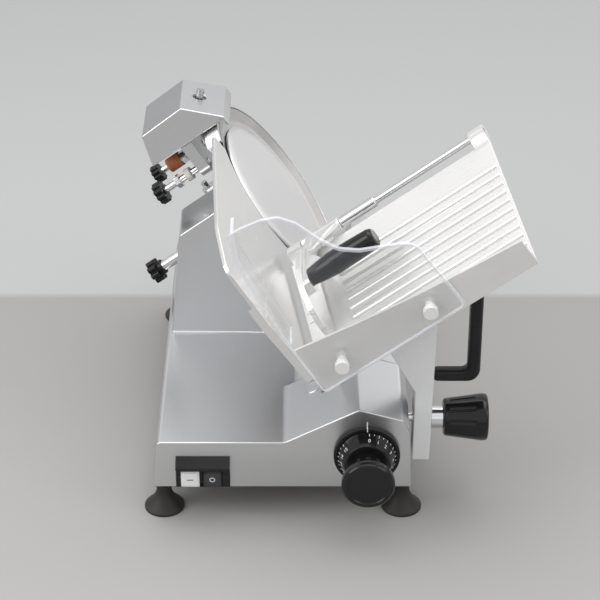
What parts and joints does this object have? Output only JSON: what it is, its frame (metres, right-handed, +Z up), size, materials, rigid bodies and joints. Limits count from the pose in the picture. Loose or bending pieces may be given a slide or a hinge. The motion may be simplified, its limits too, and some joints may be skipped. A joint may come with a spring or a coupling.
{
  "type": "meat slicer",
  "caption": "Gravity-feed deli slicer with a tilted round blade, thickness dial and gauge plate, sliding product table with clear hand guard, pusher, switch, and sharpener under a hood.",
  "frame": {"origin": "middle of the overall box at the table surface, under the rubber feet", "axes": "+Z up, +Y away from the operator along the carriage travel, +X towards the product table"},
  "size_m": [0.4668, 0.5562, 0.4237],
  "materials": {
    "cast_aluminium": "satin polished casting",
    "anodised_sheet": "bright anodised",
    "polished_steel": "polished",
    "blade_steel": "ground and brushed",
    "plain_steel": "plain",
    "motor_paint": "dark enamel",
    "black_plastic": "fine matte",
    "gloss_black": "polished black",
    "grey_plastic": "matte",
    "button_white": "gloss",
    "button_black": "gloss",
    "black_rubber": "matte rubber",
    "clear_plastic": "clear polycarbonate",
    "abrasive": "bonded abrasive"
  },
  "bodies": {
    "machine": {"base_casting": "cast_aluminium", "bottom_cover": "plain_steel", "cover_screws": "plain_steel", "rubber_feet": "black_rubber", "foot_screws": "plain_steel", "cord_inlet": "black_plastic", "control_box": "grey_plastic", "motor_body": "motor_paint", "motor_bracket": "plain_steel", "drive_belt": "black_rubber", "blade_bearings": "plain_steel", "blade_cover": "anodised_sheet", "ring_guard": "cast_aluminium", "slice_deflector": "anodised_sheet", "switch_housing": "black_plastic", "switch_contacts": "grey_plastic", "button_springs": "plain_steel", "dial_ring": "black_plastic", "gauge_bar": "polished_steel", "slide_rod": "polished_steel", "guide_rod": "polished_steel", "sharpener_post": "polished_steel"},
    "blade_group": {"blade": "blade_steel", "blade_hub": "plain_steel", "blade_pulley": "cast_aluminium", "blade_screws": "plain_steel"},
    "motor_rotor": {"motor_shaft": "plain_steel", "motor_pulley": "cast_aluminium"},
    "cover_lock": {"tie_rod": "polished_steel", "cover_knob": "black_plastic"},
    "on_key": {"on_button": "button_white"},
    "off_key": {"off_button": "button_black"},
    "dial": {"dial_skirt": "gloss_black", "dial_knob": "gloss_black", "dial_cam": "plain_steel"},
    "gauge": {"gauge_plate": "anodised_sheet", "gauge_slide": "cast_aluminium"},
    "carriage": {"slide_block": "cast_aluminium", "carriage_arm": "cast_aluminium", "product_tray": "anodised_sheet", "tray_screws": "plain_steel", "hand_guard": "clear_plastic", "guard_screws": "polished_steel", "carriage_handle": "black_plastic", "pusher_rod": "polished_steel"},
    "carriage_lock": {"knob_stud": "polished_steel", "carriage_knob": "black_plastic"},
    "pusher_slider": {"pusher_sleeve": "polished_steel"},
    "pusher": {"pusher_arm": "anodised_sheet", "pusher_plate": "anodised_sheet", "pusher_grip": "black_plastic"},
    "sharpener": {"sharpener_body": "cast_aluminium", "sharpener_hood": "cast_aluminium"},
    "hood_lock": {"sharpener_lock_screw": "plain_steel"},
    "grinding_rod": {"grinding_stone": "abrasive", "grinding_spindle": "polished_steel", "grinding_knob": "black_plastic"},
    "honing_rod": {"honing_stone": "abrasive", "honing_spindle": "polished_steel", "honing_knob": "black_plastic"}
  },
  "joints": [
    {"name": "blade_spin", "type": "hinge", "parent": "machine", "child": "blade_group", "pos_m": [-0.05811, 0.14515, 0.2505], "axis": [0.8049, 0, 0.5934], "continuous": true},
    {"name": "motor_spin", "type": "hinge", "parent": "machine", "child": "motor_rotor", "pos_m": [-0.00826, 0.14515, 0.18289], "axis": [0.8049, 0, 0.5934], "continuous": true},
    {"name": "cover_lock_turn", "type": "hinge", "parent": "machine", "child": "cover_lock", "pos_m": [-0.05811, 0.14515, 0.2505], "axis": [0.8049, 0, 0.5934], "range_deg": [0, 1080]},
    {"name": "on_press", "type": "slide", "parent": "machine", "child": "on_key", "axis": [0, 1, 0], "range_m": [0, 0.003], "stiffness_N_per_m": 400, "springref_m": -0.002, "deforming": ["button_springs"]},
    {"name": "off_press", "type": "slide", "parent": "machine", "child": "off_key", "axis": [0, 1, 0], "range_m": [0, 0.003], "stiffness_N_per_m": 400, "springref_m": -0.002},
    {"name": "dial_turn", "type": "hinge", "parent": "machine", "child": "dial", "pos_m": [0.04789, -0.21185, 0.09], "axis": [0, -1, 0], "range_deg": [0, 300]},
    {"name": "gauge_slide_in", "type": "slide", "parent": "machine", "child": "gauge", "axis": [-0.8049, 0, -0.5934], "range_m": [0, 0.015]},
    {"name": "carriage_slide", "type": "slide", "parent": "machine", "child": "carriage", "axis": [0, 1, 0], "range_m": [0, 0.27]},
    {"name": "carriage_lock_turn", "type": "hinge", "parent": "carriage", "child": "carriage_lock", "pos_m": [-0.05111, -0.15185, 0.102], "axis": [1, 0, 0], "range_deg": [0, 720]},
    {"name": "pusher_slide", "type": "slide", "parent": "carriage", "child": "pusher_slider", "axis": [0.8049, 0, 0.5934], "range_m": [0, 0.13]},
    {"name": "pusher_swing", "type": "hinge", "parent": "pusher_slider", "child": "pusher", "pos_m": [-0.00388, -0.02085, 0.27806], "axis": [-0.8049, 0, -0.5934], "range_deg": [0, 110]},
    {"name": "sharpener_lift", "type": "slide", "parent": "machine", "child": "sharpener", "axis": [-0.5934, 0, 0.8049], "range_m": [0, 0.025]},
    {"name": "hood_lock_turn", "type": "hinge", "parent": "sharpener", "child": "hood_lock", "pos_m": [-0.15729, 0.16315, 0.37492], "axis": [0.2, 0, 0.9798], "range_deg": [0, 720]},
    {"name": "grinding_push", "type": "slide", "parent": "sharpener", "child": "grinding_rod", "axis": [0.8049, 0, 0.5934], "range_m": [0, 0.01], "stiffness_N_per_m": 300, "springref_m": -0.01},
    {"name": "honing_push", "type": "slide", "parent": "sharpener", "child": "honing_rod", "axis": [0.8049, 0, 0.5934], "range_m": [0, 0.01], "stiffness_N_per_m": 300, "springref_m": -0.01}
  ],
  "couplings": [
    {"joint": "motor_spin", "follows": "blade_spin", "ratio": 2.25},
    {"joint": "gauge_slide_in", "follows": "dial_turn", "m_per_rad": 0.0028647}
  ]
}
